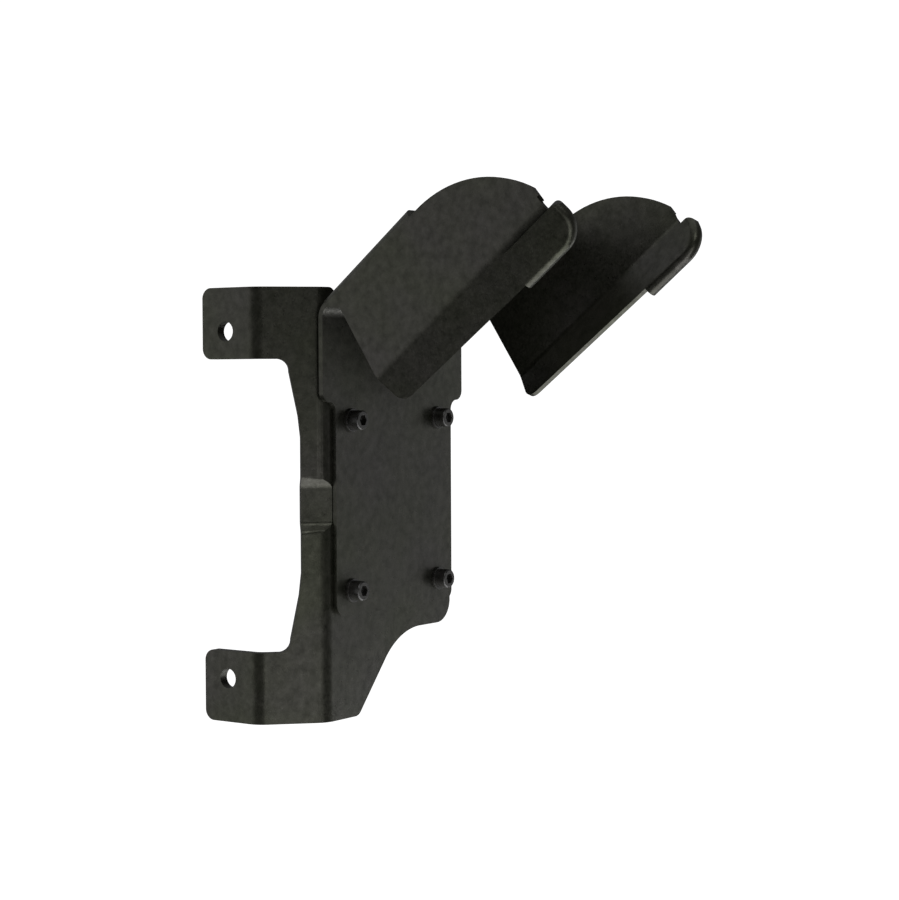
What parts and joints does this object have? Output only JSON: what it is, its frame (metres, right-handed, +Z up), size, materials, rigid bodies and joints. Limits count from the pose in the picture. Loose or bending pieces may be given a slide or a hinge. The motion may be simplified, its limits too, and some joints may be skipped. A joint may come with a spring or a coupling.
{
  "type": "bicycle wall rack",
  "caption": "Bent sheet steel wall bracket carrying a bolted hanger with two rising, round-topped arms with folded tips, to hang a bicycle beside a wall.",
  "frame": {"origin": "midway between the two wall holes, on the wall face of the ears", "axes": "+X away from the wall, along the bracket's face; the arms reach out along -Y and rise; +Z up"},
  "size_m": [0.151, 0.2083, 0.2668],
  "materials": {
    "bracket_coat": "fine textured black powder coat on bent sheet steel",
    "hanger_coat": "fine textured black powder coat on bent sheet steel",
    "screw_steel": "black oxide alloy steel with a slight oily sheen",
    "zinc_steel": "bright zinc plate, slightly clouded",
    "insert_nylon": "translucent white nylon"
  },
  "bodies": {
    "root": {"wall_bracket": "bracket_coat", "hanger_bracket": "hanger_coat", "screw_upper_near": "screw_steel", "screw_upper_far": "screw_steel", "screw_lower_near": "screw_steel", "screw_lower_far": "screw_steel", "washer_upper_near": "screw_steel", "washer_upper_far": "screw_steel", "washer_lower_near": "screw_steel", "washer_lower_far": "screw_steel", "nut_upper_near": "zinc_steel", "nut_upper_far": "zinc_steel", "nut_lower_near": "zinc_steel", "nut_lower_far": "zinc_steel", "nut_insert_upper_near": "insert_nylon", "nut_insert_upper_far": "insert_nylon", "nut_insert_lower_near": "insert_nylon", "nut_insert_lower_far": "insert_nylon"}
  },
  "joints": []
}
